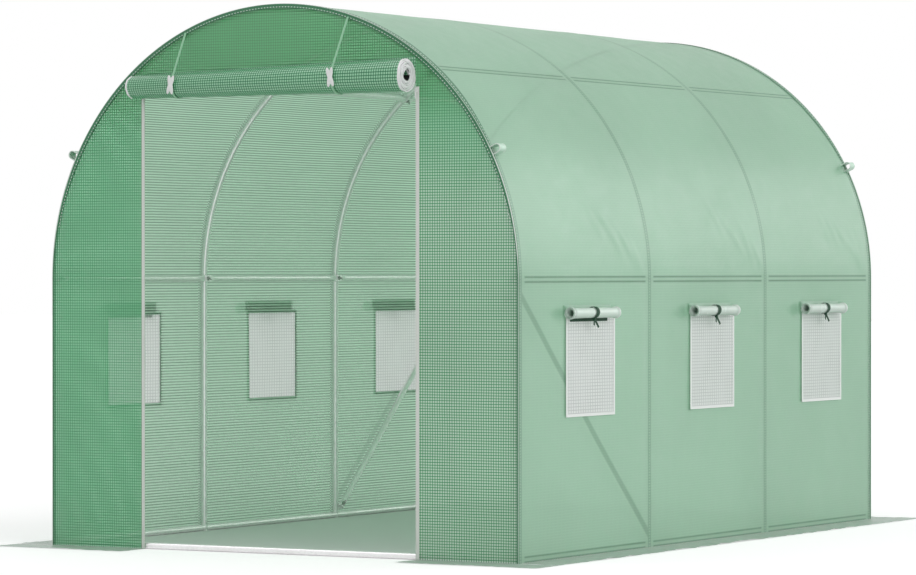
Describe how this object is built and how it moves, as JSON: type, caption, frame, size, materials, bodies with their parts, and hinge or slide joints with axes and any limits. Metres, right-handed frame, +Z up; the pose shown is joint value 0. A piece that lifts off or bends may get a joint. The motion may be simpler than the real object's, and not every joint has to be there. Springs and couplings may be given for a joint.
{
  "type": "polytunnel greenhouse",
  "caption": "Walk-in polytunnel greenhouse with a round-topped tube frame, a reinforced sheet cover, ground skirts, a roll-up door and roll-up windows with screens.",
  "frame": {"origin": "on the ground at the middle of the floor plan", "axes": "+X to the right as seen from in front of the doorway, +Y from the doorway to the rear gable, +Z up"},
  "size_m": [2.32, 3.32, 1.9998],
  "materials": {
    "galvanised_tube": "satin galvanised steel tube",
    "side_film": "translucent woven-reinforced polyethylene sheet, pale mint",
    "gable_film": "translucent woven-reinforced polyethylene sheet, mid green",
    "skirt_film": "translucent woven-reinforced polyethylene sheet laid on the ground",
    "rolled_film": "rolled layers of woven-reinforced polyethylene sheet",
    "green_webbing": "light green woven strap",
    "white_plastic": "moulded white plastic",
    "zip_tape": "off-white zip tape with moulded teeth",
    "screen_mesh": "fine white insect mesh with a taped border",
    "flap_film": "rolled pale sheet with white bound edges",
    "tie_cord": "dark green cord",
    "loop_film": "folded strip of the cover sheet with a white edge"
  },
  "bodies": {
    "root": {"front_hoop": "galvanised_tube", "second_hoop": "galvanised_tube", "third_hoop": "galvanised_tube", "rear_hoop": "galvanised_tube", "left_base_rail": "galvanised_tube", "right_base_rail": "galvanised_tube", "left_mid_rail": "galvanised_tube", "right_mid_rail": "galvanised_tube", "left_purlin": "galvanised_tube", "right_purlin": "galvanised_tube", "front_sill": "galvanised_tube", "rear_sill": "galvanised_tube", "right_front_brace": "galvanised_tube", "left_rear_brace": "galvanised_tube", "left_wall_cover": "side_film", "right_wall_cover": "side_film", "left_eaves_cover": "side_film", "crown_cover": "side_film", "right_eaves_cover": "side_film", "front_left_panel": "gable_film", "front_right_panel": "gable_film", "front_top_panel": "gable_film", "rear_gable": "gable_film", "left_skirt": "skirt_film", "right_skirt": "skirt_film", "front_left_skirt": "skirt_film", "front_right_skirt": "skirt_film", "rear_skirt": "skirt_film", "door_roll": "rolled_film", "door_straps": "green_webbing", "door_toggles": "white_plastic", "left_door_zip": "zip_tape", "right_door_zip": "zip_tape", "left_window_screens": "screen_mesh", "right_window_screens": "screen_mesh", "left_window_flaps": "flap_film", "right_window_flaps": "flap_film", "left_window_ties": "tie_cord", "right_window_ties": "tie_cord", "guy_loops": "loop_film"}
  },
  "joints": []
}
